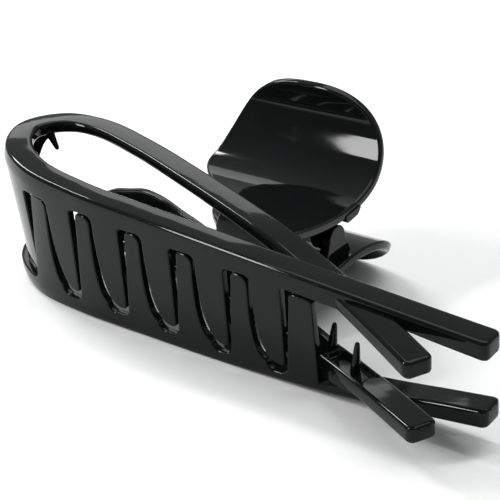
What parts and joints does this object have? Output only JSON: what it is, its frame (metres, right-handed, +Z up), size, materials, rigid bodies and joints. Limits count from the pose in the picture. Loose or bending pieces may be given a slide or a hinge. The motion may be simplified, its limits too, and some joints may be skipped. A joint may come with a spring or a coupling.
{
  "type": "hair clip",
  "caption": "Long two-jaw hair clip with interlocking teeth in front, round thumb pads behind and a sprung hinge between them.",
  "frame": {"origin": "centre of the bounding box at its lowest level, on the surface that the closed clip lies on", "axes": "+Z up from the surface; X along the clip, from the round head at -X to the tail ends at +X; -Y is the toothed front and +Y the thumb pads"},
  "size_m": [0.1148, 0.0644, 0.0384],
  "materials": {
    "upper_plastic": "glossy black, injection moulded",
    "lower_plastic": "glossy black, injection moulded",
    "pin_steel": "plain steel wire"
  },
  "bodies": {
    "lower_body": {"lower_jaw": "lower_plastic", "hinge_pin": "pin_steel"},
    "upper_body": {"upper_jaw": "upper_plastic"}
  },
  "joints": [
    {"name": "jaw_hinge", "type": "hinge", "parent": "lower_body", "child": "upper_body", "pos_m": [-0.00287, 0.00826, 0.01529], "axis": [-1, 0, 0.008], "range_deg": [0, 48], "stiffness_Nm_per_rad": 0.25, "springref_deg": -17.19}
  ]
}
